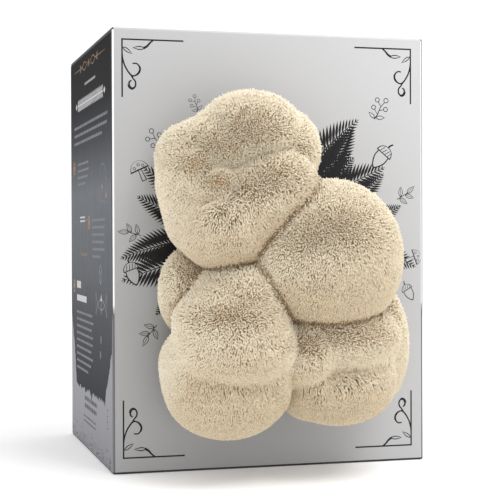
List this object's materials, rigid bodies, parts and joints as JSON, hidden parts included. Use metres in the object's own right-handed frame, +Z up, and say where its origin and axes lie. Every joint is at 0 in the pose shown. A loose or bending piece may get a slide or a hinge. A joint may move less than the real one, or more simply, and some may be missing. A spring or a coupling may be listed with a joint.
{
  "type": "lions mane mushroom grow kit",
  "caption": "Closed upright carton around a bagged sawdust block, with a lobed, spiny cream mushroom grown out through a round window in its front.",
  "frame": {"origin": "middle of the carton's base, on the surface it stands on", "axes": "+Z up, +X to the right seen from the front, +Y from the front face with the mushroom to the back"},
  "size_m": [0.17, 0.2279, 0.228],
  "materials": {
    "carton": "silver grey and charcoal print with a satin varnish",
    "film": "clear hazy film",
    "substrate": "sawdust bound by white mycelium",
    "mushroom": "cream, soft and spiny"
  },
  "bodies": {
    "root": {"carton": "carton", "grow_bag": "film", "substrate_block": "substrate", "lions_mane": "mushroom"}
  },
  "joints": []
}
